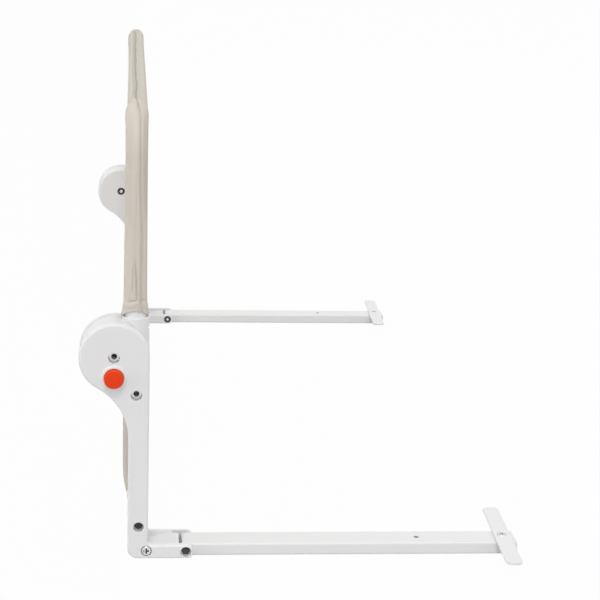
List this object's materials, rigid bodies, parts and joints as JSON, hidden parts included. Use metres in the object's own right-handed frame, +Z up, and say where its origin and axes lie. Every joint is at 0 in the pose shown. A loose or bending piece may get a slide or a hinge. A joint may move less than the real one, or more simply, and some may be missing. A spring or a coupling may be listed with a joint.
{
  "type": "folding bed guard rail",
  "caption": "Fabric covered guard rail for the side of a bed that folds down outward about two hinge housings, with flat arms that lie under the mattress.",
  "frame": {"origin": "middle of the overall box along X and Y, on the plane of the feet's and arms' undersides", "axes": "+X from the rail towards the middle of the bed, along the arms; +Y along the rail; +Z up"},
  "size_m": [0.5245, 1.331, 0.533],
  "materials": {
    "white_plastic": "fine matt moulded plastic",
    "white_steel": "white powder coat",
    "orange_plastic": "glossy",
    "bright_steel": "zinc plated",
    "black_steel": "black oxide",
    "beige_fabric": "plain woven cloth"
  },
  "bodies": {
    "side_frames": {"right_outer_housing": "white_plastic", "right_inner_housing": "white_plastic", "right_hinge_bolt": "black_steel", "right_hinge_nut": "bright_steel", "right_latch_spring": "bright_steel", "right_upper_housing_screw": "black_steel", "right_lower_housing_screw": "black_steel", "right_corner_screw": "bright_steel", "right_post_tube": "bright_steel", "right_arm_bolt": "black_steel", "right_arm_nut": "black_steel", "left_outer_housing": "white_plastic", "left_inner_housing": "white_plastic", "left_hinge_bolt": "black_steel", "left_hinge_nut": "bright_steel", "left_latch_spring": "bright_steel", "left_upper_housing_screw": "black_steel", "left_lower_housing_screw": "black_steel", "left_corner_screw": "bright_steel", "left_post_tube": "bright_steel", "left_arm_bolt": "black_steel", "left_arm_nut": "black_steel", "lower_cross_tube": "white_steel", "fabric_skirt": "beige_fabric"},
    "folding_rail": {"right_hinge_rotor": "white_plastic", "right_frame_corner_tube": "white_steel", "right_socket_screw": "bright_steel", "left_hinge_rotor": "white_plastic", "left_frame_corner_tube": "white_steel", "left_socket_screw": "bright_steel", "top_tube": "white_steel", "fabric_cover": "beige_fabric"},
    "right_button": {"right_release_button": "orange_plastic", "right_latch_pin": "bright_steel"},
    "left_button": {"left_release_button": "orange_plastic", "left_latch_pin": "bright_steel"},
    "right_arm": {"right_bed_arm": "white_steel", "right_arm_end_cap": "white_plastic", "right_paddle_screw": "bright_steel", "right_paddle_nut": "bright_steel"},
    "left_arm": {"left_bed_arm": "white_steel", "left_arm_end_cap": "white_plastic", "left_paddle_screw": "bright_steel", "left_paddle_nut": "bright_steel"},
    "right_paddle_plate": {"right_paddle": "white_steel"},
    "left_paddle_plate": {"left_paddle": "white_steel"}
  },
  "joints": [
    {"name": "rail_fold", "type": "hinge", "parent": "side_frames", "child": "folding_rail", "pos_m": [-0.22125, 0, 0.243], "axis": [0, -1, 0], "range_deg": [0, 180]},
    {"name": "right_button_press", "type": "slide", "parent": "side_frames", "child": "right_button", "axis": [0, 1, 0], "range_m": [0, 0.005], "stiffness_N_per_m": 1000, "springref_m": -0.003, "deforming": ["right_latch_spring"]},
    {"name": "left_button_press", "type": "slide", "parent": "side_frames", "child": "left_button", "axis": [0, -1, 0], "range_m": [0, 0.005], "stiffness_N_per_m": 1000, "springref_m": -0.003, "deforming": ["left_latch_spring"]},
    {"name": "right_arm_fold", "type": "hinge", "parent": "side_frames", "child": "right_arm", "pos_m": [-0.13525, -0.5715, 0.0075], "axis": [0, -1, 0], "range_deg": [0, 90]},
    {"name": "left_arm_fold", "type": "hinge", "parent": "side_frames", "child": "left_arm", "pos_m": [-0.13525, 0.5715, 0.0075], "axis": [0, -1, 0], "range_deg": [0, 90]},
    {"name": "right_paddle_swivel", "type": "hinge", "parent": "right_arm", "child": "right_paddle_plate", "pos_m": [0.24735, -0.5715, 0.0166], "axis": [0, 0, 1], "range_deg": [-90, 90]},
    {"name": "left_paddle_swivel", "type": "hinge", "parent": "left_arm", "child": "left_paddle_plate", "pos_m": [0.24735, 0.5715, 0.0166], "axis": [0, 0, 1], "range_deg": [-90, 90]}
  ]
}
